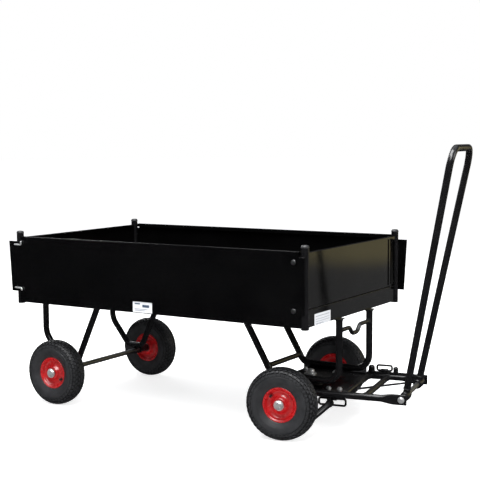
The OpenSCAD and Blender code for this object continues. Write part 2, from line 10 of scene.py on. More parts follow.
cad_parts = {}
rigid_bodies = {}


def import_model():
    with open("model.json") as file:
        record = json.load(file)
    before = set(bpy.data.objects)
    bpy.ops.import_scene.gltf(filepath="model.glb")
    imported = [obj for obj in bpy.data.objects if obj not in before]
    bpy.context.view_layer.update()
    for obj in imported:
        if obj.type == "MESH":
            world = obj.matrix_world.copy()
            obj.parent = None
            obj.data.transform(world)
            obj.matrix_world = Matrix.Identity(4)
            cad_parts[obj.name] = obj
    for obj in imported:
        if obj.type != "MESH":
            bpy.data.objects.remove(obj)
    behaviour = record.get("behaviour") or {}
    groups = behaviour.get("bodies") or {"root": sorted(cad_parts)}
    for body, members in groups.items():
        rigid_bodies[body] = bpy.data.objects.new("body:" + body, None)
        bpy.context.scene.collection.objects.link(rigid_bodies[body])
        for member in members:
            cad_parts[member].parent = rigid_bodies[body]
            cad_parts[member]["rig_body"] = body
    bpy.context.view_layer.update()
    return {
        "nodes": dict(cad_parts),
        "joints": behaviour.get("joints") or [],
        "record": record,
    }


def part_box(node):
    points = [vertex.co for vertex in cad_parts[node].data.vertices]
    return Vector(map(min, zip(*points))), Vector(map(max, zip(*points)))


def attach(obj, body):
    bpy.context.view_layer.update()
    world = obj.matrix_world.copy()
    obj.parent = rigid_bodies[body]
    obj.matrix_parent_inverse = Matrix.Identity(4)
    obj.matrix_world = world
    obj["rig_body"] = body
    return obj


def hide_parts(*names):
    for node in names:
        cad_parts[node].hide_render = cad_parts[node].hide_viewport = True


MM = 0.001

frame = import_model()
nodes = frame["nodes"]
joints = {j["name"]: j for j in frame["joints"]}
slots = {s["node"]: s["material_slot"] for s in frame["record"]["subparts"]}

# ---- Frames, all in millimetres of their own ----
# DECK: X runs forward along the cart from the deck's middle, Z up from the floor
# STEER: the same from under the kingpin, turned with the steered axle, so the drawbar runs along X
# HANDLE: X runs up the handle's middle line from its pivot, Y across the cart

deck_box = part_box("deck_sheet")
deck_middle = (deck_box[0].x + deck_box[1].x) / 2
tilt_axis = Vector(joints["handle_tilt"]["axis"])
steer_angle = math.atan2(-tilt_axis.x, tilt_axis.y)
HANDLE_LEAN = math.radians(11)

TO_METRES = Matrix.Scale(MM, 4)
DECK = Matrix.Translation((deck_middle, 0, 0)) @ TO_METRES
king = joints["steer"]["pos_m"]
STEER_TURN = Matrix.Translation((king[0], king[1], 0)) @ Matrix.Rotation(steer_angle, 4, "Z")
STEER = STEER_TURN @ TO_METRES
PIVOT_X = 391
PIVOT_Z = joints["handle_tilt"]["pos_m"][2] / MM
HANDLE = (
    STEER_TURN
    @ Matrix.Translation((PIVOT_X * MM, 0, PIVOT_Z * MM))
    @ Matrix.Rotation(HANDLE_LEAN, 4, "Y")
    @ Matrix.Rotation(-math.pi / 2, 4, "Y")
    @ TO_METRES
)


def move(x, y, z):
    return Matrix.Translation((x, y, z))


# Turns that lay local Z along X, along Y, or the other way along Y
ALONG_X = Matrix.Rotation(math.pi / 2, 4, "Y")
ALONG_Y = Matrix.Rotation(-math.pi / 2, 4, "X")
AGAINST_Y = Matrix.Rotation(math.pi / 2, 4, "X")
SIDES = ((-1, "right"), (1, "left"))


def pointing_out(side):
    """Turns local Z to point out of the cart at one side."""
    return ALONG_Y if side > 0 else AGAINST_Y


def show(name, data):
    """Puts a new object with this data into the scene."""
    obj = bpy.data.objects.new(name, data)
    bpy.context.scene.collection.objects.link(obj)
    return obj


# ---- Camera ----

CAMERA_AT = Vector((2361, -3569, 1047))
YAW, PITCH, ROLL = math.radians(31.72), math.radians(5.20), math.radians(-0.33)
LENS = 81.15


def make_camera():
    """Looks at the cart's right side and front from a little above the deck."""
    ahead = Vector((-math.sin(YAW) * math.cos(PITCH), math.cos(YAW) * math.cos(PITCH), -math.sin(PITCH)))
    level = Vector((math.cos(YAW), math.sin(YAW), 0))
    up = level.cross(ahead)
    right = level * math.cos(ROLL) + up * math.sin(ROLL)
    up = up * math.cos(ROLL) - level * math.sin(ROLL)
    data = bpy.data.cameras.new("camera")
    data.lens = LENS
    data.sensor_width = 36
    camera = show("camera", data)
    turn = Matrix((right, up, -ahead)).transposed().to_4x4()
    camera.matrix_world = Matrix.Translation(DECK @ CAMERA_AT) @ turn
    data.clip_start = 0.05
    data.clip_end = 200
    bpy.context.scene.camera = camera


make_camera()

# ---- Material building blocks ----


class Look:
    """A Principled material and the nodes that feed it, with a method for each kind of node."""

    def __init__(self, name, **fixed):
        self.material = bpy.data.materials.new(name)
        self.material.use_nodes = True
        self.tree = self.material.node_tree
        self.shader = self.tree.nodes["Principled BSDF"]
        for socket, value in fixed.items():
            self.shader.inputs[socket.replace("_", " ")].default_value = value
        self.coords = self.tree.nodes.new("ShaderNodeTexCoord").outputs["Object"]
        self.last_bump = None

    def node(self, kind, **settings):
        made = self.tree.nodes.new(kind)
        for key, value in settings.items():
            setattr(made, key, value)
        return made

    def feed(self, source, target):
        if isinstance(source, bpy.types.NodeSocket):
            self.tree.links.new(source, target)
        else:
            target.default_value = source

    def stretched(self, x, y, z):
        mapping = self.node("ShaderNodeMapping")
        self.feed(self.coords, mapping.inputs["Vector"])
        mapping.inputs["Scale"].default_value = (x, y, z)
        return mapping.outputs["Vector"]

    def noise(self, scale, detail=3.0, rough=0.55, where=None):
        made = self.node("ShaderNodeTexNoise")
        self.feed(where or self.coords, made.inputs["Vector"])
        made.inputs["Scale"].default_value = scale
        made.inputs["Detail"].default_value = detail
        made.inputs["Roughness"].default_value = rough
        return made.outputs["Fac"]

    def cells(self, scale, output="Distance"):
        made = self.node("ShaderNodeTexVoronoi")
        self.feed(self.coords, made.inputs["Vector"])
        made.inputs["Scale"].default_value = scale
        return made.outputs[output]

    def span(self, source, low, high, to_low=0.0, to_high=1.0):
        made = self.node("ShaderNodeMapRange", clamp=True)
        self.feed(source, made.inputs["Value"])
        limits = {"From Min": low, "From Max": high, "To Min": to_low, "To Max": to_high}
        for key, value in limits.items():
            made.inputs[key].default_value = value
        return made.outputs["Result"]

    def maths(self, kind, a, b=0.0):
        made = self.node("ShaderNodeMath", operation=kind)
        self.feed(a, made.inputs[0])
        self.feed(b, made.inputs[1])
        return made.outputs[0]

    def mix(self, share, a, b):
        made = self.node("ShaderNodeMix", data_type="RGBA")
        self.feed(share, made.inputs["Factor"])
        colours = [s for s in made.inputs if s.type == "RGBA"]
        for value, socket in zip((a, b), colours):
            self.feed(value if isinstance(value, bpy.types.NodeSocket) else (*value, 1), socket)
        return [s for s in made.outputs if s.type == "RGBA"][0]

    def facing_up(self):
        geometry = self.node("ShaderNodeNewGeometry")
        parts = self.node("ShaderNodeSeparateXYZ")
        self.feed(geometry.outputs["Normal"], parts.inputs[0])
        return parts.outputs["Z"]

    def bump(self, height, depth, strength=1.0):
        made = self.node("ShaderNodeBump")
        made.inputs["Strength"].default_value = strength
        made.inputs["Distance"].default_value = depth
        self.feed(height, made.inputs["Height"])
        if self.last_bump is not None:
            self.feed(self.last_bump, made.inputs["Normal"])
        self.last_bump = made.outputs["Normal"]

    def finish(self, colour, rough):
        self.feed(colour, self.shader.inputs["Base Color"])
        self.feed(rough, self.shader.inputs["Roughness"])
        if self.last_bump is not None:
            self.feed(self.last_bump, self.shader.inputs["Normal"])
        return self.material


def black_paint(name, dark, light, smooth, dull, wave, dust):
    """Sprayed black paint: orange peel, slow unevenness and a little dust on what faces up."""
    look = Look(name)
    cloud = look.noise(9, 4)
    colour = look.mix(look.span(cloud, 0.35, 0.7), dark, light)
    specks = look.span(look.noise(160, 5, 0.7), 0.52, 0.72)
    settled = look.maths("MULTIPLY", look.span(look.facing_up(), 0.55, 1.0), specks)
    settled = look.maths("MULTIPLY", settled, dust)
    colour = look.mix(settled, colour, (0.085, 0.08, 0.072))
    rubbed = look.span(look.noise(26, 6, 0.7, look.stretched(1, 1, 4)), 0.42, 0.72)
    rough = look.span(rubbed, 0, 1, smooth, dull)
    look.bump(look.noise(2.3, 1.5), wave)
    look.bump(look.noise(620, 2), 0.00002, 0.3)
    return look.finish(colour, rough)


def bed_paint():
    """The load bed: the same paint, scuffed along the cart by the load."""
    look = Look("scuffed_bed_paint")
    scuffs = look.span(look.noise(34, 7, 0.75, look.stretched(0.35, 3.2, 1)), 0.56, 0.74)
    patches = look.span(look.noise(3.4, 3), 0.45, 0.65)
    worn = look.maths("MULTIPLY", scuffs, patches)
    colour = look.mix(worn, (0.008, 0.008, 0.0085), (0.06, 0.059, 0.057))
    rough = look.span(look.noise(40, 5), 0.3, 0.7, 0.3, 0.52)
    look.bump(look.noise(2.8, 1.5), 0.004)
    look.bump(look.noise(520, 2), 0.00005, 0.5)
    return look.finish(colour, rough)


def red_enamel():
    """Glossy red with a clear coat and a little grime."""
    look = Look("red_rim_enamel", Coat_Weight=0.6, Coat_Roughness=0.06)
    cloud = look.span(look.noise(40, 3), 0.3, 0.7)
    colour = look.mix(cloud, (0.29, 0.004, 0.006), (0.40, 0.009, 0.010))
    grime = look.span(look.noise(120, 5, 0.7), 0.6, 0.8, 0, 0.35)
    colour = look.mix(grime, colour, (0.16, 0.015, 0.012))
    look.bump(look.noise(520, 2), 0.00004, 0.4)
    return look.finish(colour, look.span(cloud, 0, 1, 0.2, 0.32))


def tyre_rubber():
    """Matt grey-black rubber, with painted shade darkening it deep in the tread."""
    look = Look("tyre_rubber", Specular_IOR_Level=0.42)
    cloud = look.span(look.noise(30, 5, 0.6), 0.3, 0.72)
    colour = look.mix(cloud, (0.012, 0.0125, 0.014), (0.023, 0.0235, 0.0265))
    bloom = look.span(look.noise(150, 6, 0.7), 0.55, 0.78, 0, 0.4)
    colour = look.mix(bloom, colour, (0.062, 0.061, 0.06))
    # Painted shade: an occlusion mask darkens the tread grooves towards black.
    painted_groove_shade = look.node("ShaderNodeAmbientOcclusion", samples=6)
    painted_groove_shade.inputs["Distance"].default_value = 0.006
    colour = look.mix(look.span(painted_groove_shade.outputs["AO"], 0.45, 0.95), (0.002, 0.002, 0.002), colour)
    rough = look.span(look.noise(70, 4), 0.3, 0.7, 0.4, 0.6)
    look.bump(look.noise(900, 3), 0.00025, 0.6)
    look.bump(look.noise(110, 3), 0.0003, 0.6)
    return look.finish(colour, rough)


def zinc_plate():
    """Bright plating with a faint spangle and a warm tint in places."""
    look = Look("zinc_plate", Metallic=0.82)
    spangle = look.cells(180, output="Color")
    grey = look.node("ShaderNodeRGBToBW")
    look.feed(spangle, grey.inputs[0])
    colour = look.mix(look.span(grey.outputs[0], 0, 1), (0.74, 0.75, 0.76), (0.92, 0.92, 0.91))
    warm = look.span(look.noise(60, 3), 0.55, 0.75, 0, 0.35)
    colour = look.mix(warm, colour, (0.72, 0.68, 0.56))
    look.bump(look.noise(700, 3), 0.00006, 0.5)
    return look.finish(colour, look.span(look.noise(240, 4), 0.3, 0.7, 0.24, 0.42))


def drawn_steel():
    """Bare steel with fine lines along it."""
    look = Look("drawn_steel", Metallic=1.0)
    lines = look.noise(300, 4, 0.6, look.stretched(6, 0.25, 6))
    colour = look.mix(look.span(lines, 0.35, 0.65), (0.16, 0.16, 0.165), (0.34, 0.34, 0.345))
    look.bump(lines, 0.00005, 0.5)
    return look.finish(colour, look.span(look.noise(90, 4), 0.3, 0.7, 0.3, 0.5))


def moulded_plastic():
    look = Look("moulded_black_plastic")
    grain = look.cells(1500)
    colour = look.mix(look.span(look.noise(80, 3), 0.3, 0.7), (0.011, 0.011, 0.012), (0.02, 0.02, 0.021))
    look.bump(grain, 0.00012, 0.4)
    return look.finish(colour, look.span(look.noise(200, 3), 0.3, 0.7, 0.38, 0.55))


def paper_label():
    look = Look("white_label_film")
    fibres = look.noise(900, 4, 0.6)
    colour = look.mix(look.span(fibres, 0.3, 0.7), (0.55, 0.56, 0.59), (0.64, 0.65, 0.67))
    look.bump(fibres, 0.00003, 0.4)
    return look.finish(colour, look.span(look.noise(60, 3), 0.3, 0.7, 0.32, 0.46))


def label_ink():
    look = Look("label_ink")
    dots = look.span(look.noise(1400, 2), 0.35, 0.65)
    colour = look.mix(dots, (0.03, 0.05, 0.09), (0.05, 0.08, 0.13))
    return look.finish(colour, look.span(dots, 0, 1, 0.4, 0.55))


STEEL = drawn_steel()
INK = label_ink()
BED = bed_paint()
FINISHES = {
    "gloss_black_sheet": black_paint(
        "gloss_black_sheet_paint", dark=(0.0010, 0.0010, 0.0011), light=(0.0020, 0.0020, 0.0021),
        smooth=0.07, dull=0.16, wave=0.003, dust=0.3,
    ),
    "black_tube_paint": black_paint(
        "black_tube_paint", dark=(0.0042, 0.0041, 0.0046), light=(0.0068, 0.0066, 0.0072),
        smooth=0.16, dull=0.3, wave=0.0006, dust=0.4,
    ),
    "black_plastic": moulded_plastic(),
    "zinc_plate": zinc_plate(),
    "bright_steel": STEEL,
    "tyre_rubber": tyre_rubber(),
    "red_rim": red_enamel(),
    "white_label": paper_label(),
}

# ---- Mesh building blocks ----


def ring_between(bm, a, b):
    """Faces between two rings of vertices, either of which may be a single point."""
    if len(a) == 1 and len(b) == 1:
        return
    count = max(len(a), len(b))
    for i in range(count):
        j = (i + 1) % count
        if len(a) == 1:
            bm.faces.new((a[0], b[j], b[i]))
        elif len(b) == 1:
            bm.faces.new((a[i], a[j], b[0]))
        else:
            bm.faces.new((a[i], a[j], b[j], b[i]))


def lathe(bm, profile, place=Matrix.Identity(4), segments=64, closed=False):
    """Turns (radius, height) points about Z. A closed profile joins its last point to its first."""
    rings = []
    for r, z in profile:
        if r < 1e-6:
            rings.append([bm.verts.new(place @ Vector((0, 0, z)))])
            continue
        turn = [math.tau * i / segments for i in range(segments)]
        rings.append([bm.verts.new(place @ Vector((r * math.cos(t), r * math.sin(t), z))) for t in turn])
    for a, b in zip(rings, rings[1:]):
        ring_between(bm, a, b)
    if closed:
        ring_between(bm, rings[-1], rings[0])


def rod_profile(r, z0, z1, edge=0.8):
    return [(0, z0), (r - edge, z0), (r, z0 + edge), (r, z1 - edge), (r - edge, z1), (0, z1)]


def tube_profile(r, inner, z0, z1, edge=0.5):
    outer = [(r - edge, z0), (r, z0 + edge), (r, z1 - edge), (r - edge, z1)]
    return outer + [(inner, z1), (inner, z0)]


def bent_path(corners, bends, step=5):
    """A line through corners in 3D with a round bend of its own radius at each inner corner."""
    points = [Vector(corners[0])]
    for i in range(1, len(corners) - 1):
        before, here, after = (Vector(corners[k]) for k in (i - 1, i, i + 1))
        u, v = (here - before).normalized(), (after - here).normalized()
        turn = u.angle(v)
        start = here - u * bends[i - 1] * math.tan(turn / 2)
        inward = (v - u * u.dot(v)).normalized()
        centre = start + inward * bends[i - 1]
        count = max(2, math.ceil(math.degrees(turn) / step))
        for k in range(count + 1):
            t = turn * k / count
            points.append(centre - inward * bends[i - 1] * math.cos(t) + u * bends[i - 1] * math.sin(t))
    points.append(Vector(corners[-1]))
    return points


def sweep(bm, points, radius, place=Matrix.Identity(4), sides=32, edge=0.6):
    """A round bar along points, with chamfered ends."""
    first = (points[1] - points[0]).normalized()
    side = first.orthogonal().normalized()
    head = points[0] + first * edge
    last = (points[-1] - points[-2]).normalized()
    tail = points[-1] - last * edge
    stations = [(points[0], radius - edge), (head, radius)]
    stations += [(p, radius) for p in points[1:-1]]
    stations += [(tail, radius), (points[-1], radius - edge)]
    rings, previous = [], first
    for i, (p, r) in enumerate(stations):
        ahead = stations[min(i + 1, len(stations) - 1)][0]
        behind = stations[max(i - 1, 0)][0]
        along = (ahead - behind).normalized()
        side = previous.rotation_difference(along) @ side
        previous = along
        other = along.cross(side)
        rings.append([
            bm.verts.new(place @ (p + (side * math.cos(t) + other * math.sin(t)) * r))
            for t in (math.tau * k / sides for k in range(sides))
        ])
    for a, b in zip(rings, rings[1:]):
        ring_between(bm, a, b)
    bm.faces.new(rings[0][::-1])
    bm.faces.new(rings[-1])


def block(bm, low, high, place=Matrix.Identity(4)):
    low, high = Vector(low), Vector(high)
    at = place @ move(*((low + high) / 2)) @ Matrix.Diagonal((*(high - low), 1))
    bmesh.ops.create_cube(bm, size=1, matrix=at)


def hexagon_head(bm, r, h, place):
    """A hexagon head with its corners turned down, on a thin washer face, standing along local Z."""
    points, foot, shoulder = 24, 0.6, 1.4
    # Height, share of the full size, and how round the corners are cut
    levels = ((0, 0.86, 1), (foot, 0.86, 1), (foot, 1, 1), (h - shoulder, 1, 1), (h, 1, 0.87))
    rings = []
    for z, share, cap in levels:
        ring = []
        for i in range(points):
            t = math.tau * i / points
            wave = abs(((math.degrees(t) + 30) % 60) - 30) / 30
            hexed = math.cos(math.pi / 6) / math.cos(math.radians(30 - 30 * wave))
            size = r * share * min(hexed, cap)
            ring.append(bm.verts.new(place @ Vector((size * math.cos(t), size * math.sin(t), z))))
        rings.append(ring)
    for a, b in zip(rings, rings[1:]):
        ring_between(bm, a, b)
    bm.faces.new(rings[0][::-1])
    bm.faces.new(rings[-1])


def bolt_head(bm, place, washer_r, washer_h, r, h):
    """A washer with a hexagon head on it, standing along local Z."""
    lathe(bm, [(0, 0), (washer_r, 0), (washer_r, washer_h), (0, washer_h)], place, 36)
    hexagon_head(bm, r, h, place @ move(0, 0, washer_h))


def weld_bead(bm, place, radius, bead=2.3, ripples=26, seed=0):
    """A rippled fillet of weld round a tube that stands along local Z."""
    segments, sides = 96, 8
    rings = []
    for i in range(segments):
        t = math.tau * i / segments
        wobble = noise.noise(Vector((math.cos(t) * 2, math.sin(t) * 2, seed * 3.7)))
        size = bead * (1 + 0.16 * math.sin(t * ripples) + 0.3 * wobble)
        ring = []
        for k in range(sides):
            s = math.tau * k / sides
            r = radius + size * math.cos(s)
            corner = Vector((r * math.cos(t), r * math.sin(t), size * math.sin(s)))
            ring.append(bm.verts.new(place @ corner))
        rings.append(ring)
    for i in range(segments):
        ring_between(bm, rings[i], rings[(i + 1) % segments])


def as_mesh(name, bm, material):
    mesh = bpy.data.meshes.new(name)
    bm.to_mesh(mesh)
    bm.free()
    mesh.materials.append(material)
    return mesh


def smooth_mesh(name, bm, place, material, merge=1e-5):
    """Joins points that meet, turns the faces outward, moves all into place and shades it smooth."""
    bmesh.ops.remove_doubles(bm, verts=bm.verts, dist=merge)
    bmesh.ops.recalc_face_normals(bm, faces=bm.faces)
    bm.transform(place)
    mesh = as_mesh(name, bm, material)
    for polygon in mesh.polygons:
        polygon.use_smooth = True
    return mesh


def piece(name, bm, body, slot, stands_for=(), place=Matrix.Identity(4), bevel=0.0, crease=38, look=None):
    """Makes the object, gives it its finish and lets it ride on its body."""
    mesh = smooth_mesh(name, bm, place, look or FINISHES[slot])
    obj = show(name, mesh)
    if bevel:
        rounded = obj.modifiers.new("rounded_edges", "BEVEL")
        rounded.width = bevel * MM
        rounded.segments = 2
        rounded.limit_method = "ANGLE"
        rounded.angle_limit = math.radians(crease)
        shaded = obj.modifiers.new("even_shading", "WEIGHTED_NORMAL")
        shaded.keep_sharp = True
    else:
        mesh.set_sharp_from_angle(angle=math.radians(crease))
    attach(obj, body)
    if stands_for:
        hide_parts(*stands_for)
    return obj


def refined(node, bevel, look=None):
    """The CAD node's own shape with its edges rounded as folded or ground steel is."""
    bm = bmesh.new()
    bm.from_mesh(nodes[node].data)
    bmesh.ops.remove_doubles(bm, verts=bm.verts, dist=2e-6)
    bmesh.ops.dissolve_limit(bm, angle_limit=math.radians(0.4), verts=bm.verts, edges=bm.edges)
    return piece(node + "_formed", bm, nodes[node]["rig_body"], slots[node], (node,), bevel=bevel,
                 look=look)


def formed(node, bm, place, crease=38, bevel=0.0, look=None):
    """A piece that stands for one CAD node, drawn in millimetres in one of the frames above."""
    return piece(node + "_formed", bm, nodes[node]["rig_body"], slots[node], (node,), place, bevel, crease,
                 look)


# ---- Tubes and legs ----

TUBE_R = 12.5
TUBE_WALL = 2
LEG_TOP = 411
REAR_LOOP_Y = 220
FRONT_LOOP_Y = 127
FRONT_LEG_X = 649
REAR_LEG_X = -655
REAR_SLANT_X = -372
FRONT_SLANT_X = 237
REAR_RUN_Z = 152.5
FRONT_RUN_Z = 183
RUN_ON = 14
BAR_R = 8
REAR_BAR_Z = LEG_TOP - BAR_R
FRONT_BAR_Z = 370
BRACE_R = 10
BRACE_X, BRACE_Z = 352, 212
REAR_LINE = [(REAR_LEG_X, LEG_TOP), (REAR_LEG_X, 262), (-568, REAR_RUN_Z), (-492, REAR_RUN_Z),
             (REAR_SLANT_X, LEG_TOP)]
FRONT_LINE = [(FRONT_SLANT_X, LEG_TOP), (369, FRONT_RUN_Z), (FRONT_LEG_X, FRONT_RUN_Z),
              (FRONT_LEG_X, LEG_TOP)]


def leg_loop(node, line, bends, y):
    """A bent tube whose two ends are run on and then cut off level under the pads."""
    corners = [Vector((x, y, z)) for x, z in line]
    corners[0] += (corners[0] - corners[1]).normalized() * RUN_ON
    corners[-1] += (corners[-1] - corners[-2]).normalized() * RUN_ON
    bm = bmesh.new()
    sweep(bm, bent_path(corners, bends), TUBE_R)
    everything = bm.verts[:] + bm.edges[:] + bm.faces[:]
    cut = bmesh.ops.bisect_plane(bm, geom=everything, plane_co=(0, 0, LEG_TOP), plane_no=(0, 0, 1),
                                 clear_outer=True)
    rims = [e for e in cut["geom_cut"] if isinstance(e, bmesh.types.BMEdge)]
    bmesh.ops.holes_fill(bm, edges=rims)
    formed(node, bm, DECK)


def leg_loops():
    for side, word in SIDES:
        leg_loop("rear_leg_loop_" + word, REAR_LINE, (80, 36, 32), side * REAR_LOOP_Y)
        leg_loop("front_leg_loop_" + word, FRONT_LINE, (42, 58), side * FRONT_LOOP_Y)


def chassis_bars():
    """The bars across between the leg loops; the one at the front has a dip in its middle."""
    bm = bmesh.new()
    reach = REAR_LOOP_Y - TUBE_R
    lathe(bm, rod_profile(BAR_R, -reach, reach), move(REAR_LEG_X, 0, REAR_BAR_Z) @ ALONG_Y, 40)
    formed("rear_cross_tube", bm, DECK)

    bm = bmesh.new()
    reach = FRONT_LOOP_Y - TUBE_R
    outline = tube_profile(BRACE_R, BRACE_R - TUBE_WALL, -reach, reach)
    lathe(bm, outline, move(BRACE_X, 0, BRACE_Z) @ ALONG_Y, 40, True)
    formed("front_loop_cross_tube", bm, DECK)

    bm = bmesh.new()
    dip, dip_from, dip_to, bend = 25, 44, 20, 22
    line = [(-reach, 0), (-dip_from, 0), (-dip_to, -dip), (dip_to, -dip), (dip_from, 0), (reach, 0)]
    corners = [(FRONT_LEG_X, y, FRONT_BAR_Z + z) for y, z in line]
    sweep(bm, bent_path(corners, (bend,) * 4, 4), BAR_R)
    formed("front_cross_bar", bm, DECK)


def corner_posts():
    """Four open tubes at the deck's corners, with push-in caps."""
    low, high = (corner.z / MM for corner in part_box("corner_posts"))
    post_r = 14
    x = (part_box("corner_posts")[1].x - deck_middle) / MM - post_r
    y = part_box("corner_posts")[1].y / MM - post_r
    tubes, caps = bmesh.new(), bmesh.new()
    cap_outline = [(0, 10), (6, 9.9), (9.8, 9.2), (12.4, 7.6), (14, 5), (14.7, 2.4), (14.8, 0.4),
                   (14.5, 0), (12, 0), (12, -12), (0, -12)]
    tube_outline = tube_profile(post_r, post_r - TUBE_WALL, low, high)
    for sx in (-1, 1):
        for sy in (-1, 1):
            lathe(tubes, tube_outline, move(sx * x, sy * y, 0), 48, True)
            lathe(caps, cap_outline, move(sx * x, sy * y, high), 48)
    formed("corner_posts", tubes, DECK)
    formed("post_caps", caps, DECK)


def chassis_welds():
    """Beads where legs meet their pads and bars meet legs; a slanting leg's bead is stretched along it."""
    bm = bmesh.new()
    seed = 0
    for line, y in ((REAR_LINE, REAR_LOOP_Y), (FRONT_LINE, FRONT_LOOP_Y)):
        for end, before in ((line[0], line[1]), (line[-1], line[-2])):
            run, rise = end[0] - before[0], end[1] - before[1]
            stretch = Matrix.Diagonal((math.hypot(run, rise) / rise, 1, 1, 1))
            for side in (-1, 1):
                seed += 1
                weld_bead(bm, move(end[0], side * y, LEG_TOP - 1.2) @ stretch, TUBE_R + 0.4, seed=seed)
    for x, z, y, r in ((REAR_LEG_X, REAR_BAR_Z, REAR_LOOP_Y, BAR_R),
                       (BRACE_X, BRACE_Z, FRONT_LOOP_Y, BRACE_R),
                       (FRONT_LEG_X, FRONT_BAR_Z, FRONT_LOOP_Y, BAR_R)):
        for side in (-1, 1):
            seed += 1
            weld_bead(bm, move(x, side * (y - TUBE_R - 0.2), z) @ ALONG_Y, r + 0.3, 2.0, 20, seed)
    piece("weld_beads_chassis", bm, "chassis", "black_tube_paint", place=DECK, crease=80)


# ---- Axles ----

AXLE_Z = 130
AXLE_R = 10
REAR_AXLE_X = -520
TRACKS = {"rear": 315, "front": 324}
HALF_HUB = 31
INTO_CAP = 7
GAP = 0.5


def axle_caps():
    """A washer and a push-on domed cap at each end of an axle."""
    dome = [(18.4, 3), (18.6, 3.4), (18.6, 4.0), (17.4, 4.5), (16.9, 5.2), (15.9, 7.4), (13.8, 9.4),
            (10.6, 10.9), (6.4, 11.8), (2.6, 12.0), (0, 12.0)]
    washer = [(AXLE_R, 0), (17.6, 0), (18, 0.4), (18, 3)]
    for end, place, x in (("rear", DECK, REAR_AXLE_X), ("front", STEER, 0)):
        bm = bmesh.new()
        for side in (-1, 1):
            start = side * (TRACKS[end] + HALF_HUB + GAP)
            lathe(bm, washer + dome, move(x, start, AXLE_Z) @ pointing_out(side), 56)
        formed(end + "_axle_caps", bm, place, 30)


def axle_rods():
    """The rear axle's rod and saddles, and the front axle's two stubs and beam."""
    reach = TRACKS["rear"] + HALF_HUB + GAP + INTO_CAP
    bm = bmesh.new()
    lathe(bm, rod_profile(AXLE_R, -reach, reach, 1), move(REAR_AXLE_X, 0, AXLE_Z) @ ALONG_Y, 40)
    formed("rear_axle_rod", bm, DECK)
    refined("rear_axle_saddles", 1.0)
    refined("front_axle_rod", 0.8)
    refined("front_axle_beam", 1.0)


# ---- Turntable ----

KING_X = 465
KING_R = 10
PLATE_THICK = 5
PLATE_TOP = FRONT_RUN_Z - TUBE_R
DISC_R = 85
DISC_TOP = PLATE_TOP - PLATE_THICK - GAP
DISC_LOW = DISC_TOP - 5
PLATE_BOLTS_X = (-58, 70)
PLATE_BOLTS_Y = (-70, 70)


def turntable():
    """The plate under the chassis, the disc and hub that turn below it, and the kingpin with its nut."""
    refined("turntable_top_plate", 0.9)
    refined("turntable_hub", 0.8)
    refined("leg_pads", 0.8)
    bm = bmesh.new()
    lathe(bm, tube_profile(DISC_R, KING_R + 0.05, DISC_LOW, DISC_TOP, 1), segments=96, closed=True)
    formed("turntable_disc", bm, STEER)

    bm = bmesh.new()
    for x in PLATE_BOLTS_X:
        for y in PLATE_BOLTS_Y:
            bolt_head(bm, move(KING_X + x, y, PLATE_TOP), 11, 1.6, 7.8, 5.4)
    formed("top_plate_bolts", bm, DECK, 28)

    bm = bmesh.new()
    foot, tip, flange_low, flange_high = 98.5, PLATE_TOP + 10, 105.5, 111.5
    pin = [(0, foot), (KING_R - 1, foot), (KING_R, foot + 1), (KING_R, flange_low), (18, flange_low),
           (18, flange_high), (KING_R, flange_high), (KING_R, tip - 1), (KING_R - 1, tip), (0, tip)]
    lathe(bm, pin, move(KING_X, 0, 0), 48)
    formed("kingpin", bm, DECK)

    bm = bmesh.new()
    nut = [(0, 0), (22.4, 0), (23, 0.6), (23, 3.4), (22.2, 4), (15.6, 4.1), (15.2, 5.6), (15, 12.4),
           (14, 15.4), (11.8, 17.8), (8.6, 19.5), (4.6, 20.4), (0, 20.5)]
    lathe(bm, nut, move(KING_X, 0, PLATE_TOP), 64)
    formed("kingpin_nut", bm, DECK, 30)


# ---- Drawbar ----

RAIL_Y = 175
RAIL_START = 20
RAIL_END = PIVOT_X + 18
FLAT_FROM = RAIL_END - 98
FLAT_TO = RAIL_END - 46
FLAT_HALF_THICK = 5
FLAT_HALF_TALL = 18.6
FLAT_DROP = 0.5
SQUARED = 0.62
CROSS_X = (182, 258)
CROSS_R = 11
SHAFT_R = 9
DRAWBAR_PLATE_TOP = 147
DRAWBAR_BOLTS_X = (106, 148)
DRAWBAR_BOLTS_Y = -112
COLLAR_R, COLLAR_LEN = 16, 10
BUSH_HALF = 16
HANDLE_FOOT_Y = 105


def drawbar_rails():
    """A tube whose front end is pressed flat: its section turns from a circle into a tall thin one."""
    sides, steps, chamfer = 40, 12, 0.8
    stations = [RAIL_START, RAIL_START + 0.6]
    stations += [FLAT_FROM + (FLAT_TO - FLAT_FROM) * k / steps for k in range(steps + 1)]
    stations += [RAIL_END - 8, RAIL_END - 1, RAIL_END]
    for side, word in SIDES:
        bm = bmesh.new()
        rings = []
        for x in stations:
            share = min(max((x - FLAT_FROM) / (FLAT_TO - FLAT_FROM), 0), 1)
            share = share * share * (3 - 2 * share)
            trim = chamfer if x in (RAIL_START, RAIL_END) else 0
            half_y = TUBE_R + (FLAT_HALF_THICK - TUBE_R) * share - trim
            half_z = TUBE_R + (FLAT_HALF_TALL - TUBE_R) * share - trim
            power = 1 - SQUARED * share
            ring = []
            for k in range(sides):
                t = math.tau * k / sides
                c, s = math.cos(t), math.sin(t)
                y = math.copysign(abs(c) ** power, c) * half_y
                z = math.copysign(abs(s) ** power, s) * half_z - FLAT_DROP * share
                ring.append(bm.verts.new((x, side * RAIL_Y + y, PIVOT_Z + z)))
            rings.append(ring)
        for a, b in zip(rings, rings[1:]):
            ring_between(bm, a, b)
        bm.faces.new(rings[0])
        bm.faces.new(rings[-1])
        formed("drawbar_rail_" + word, bm, STEER, 50)


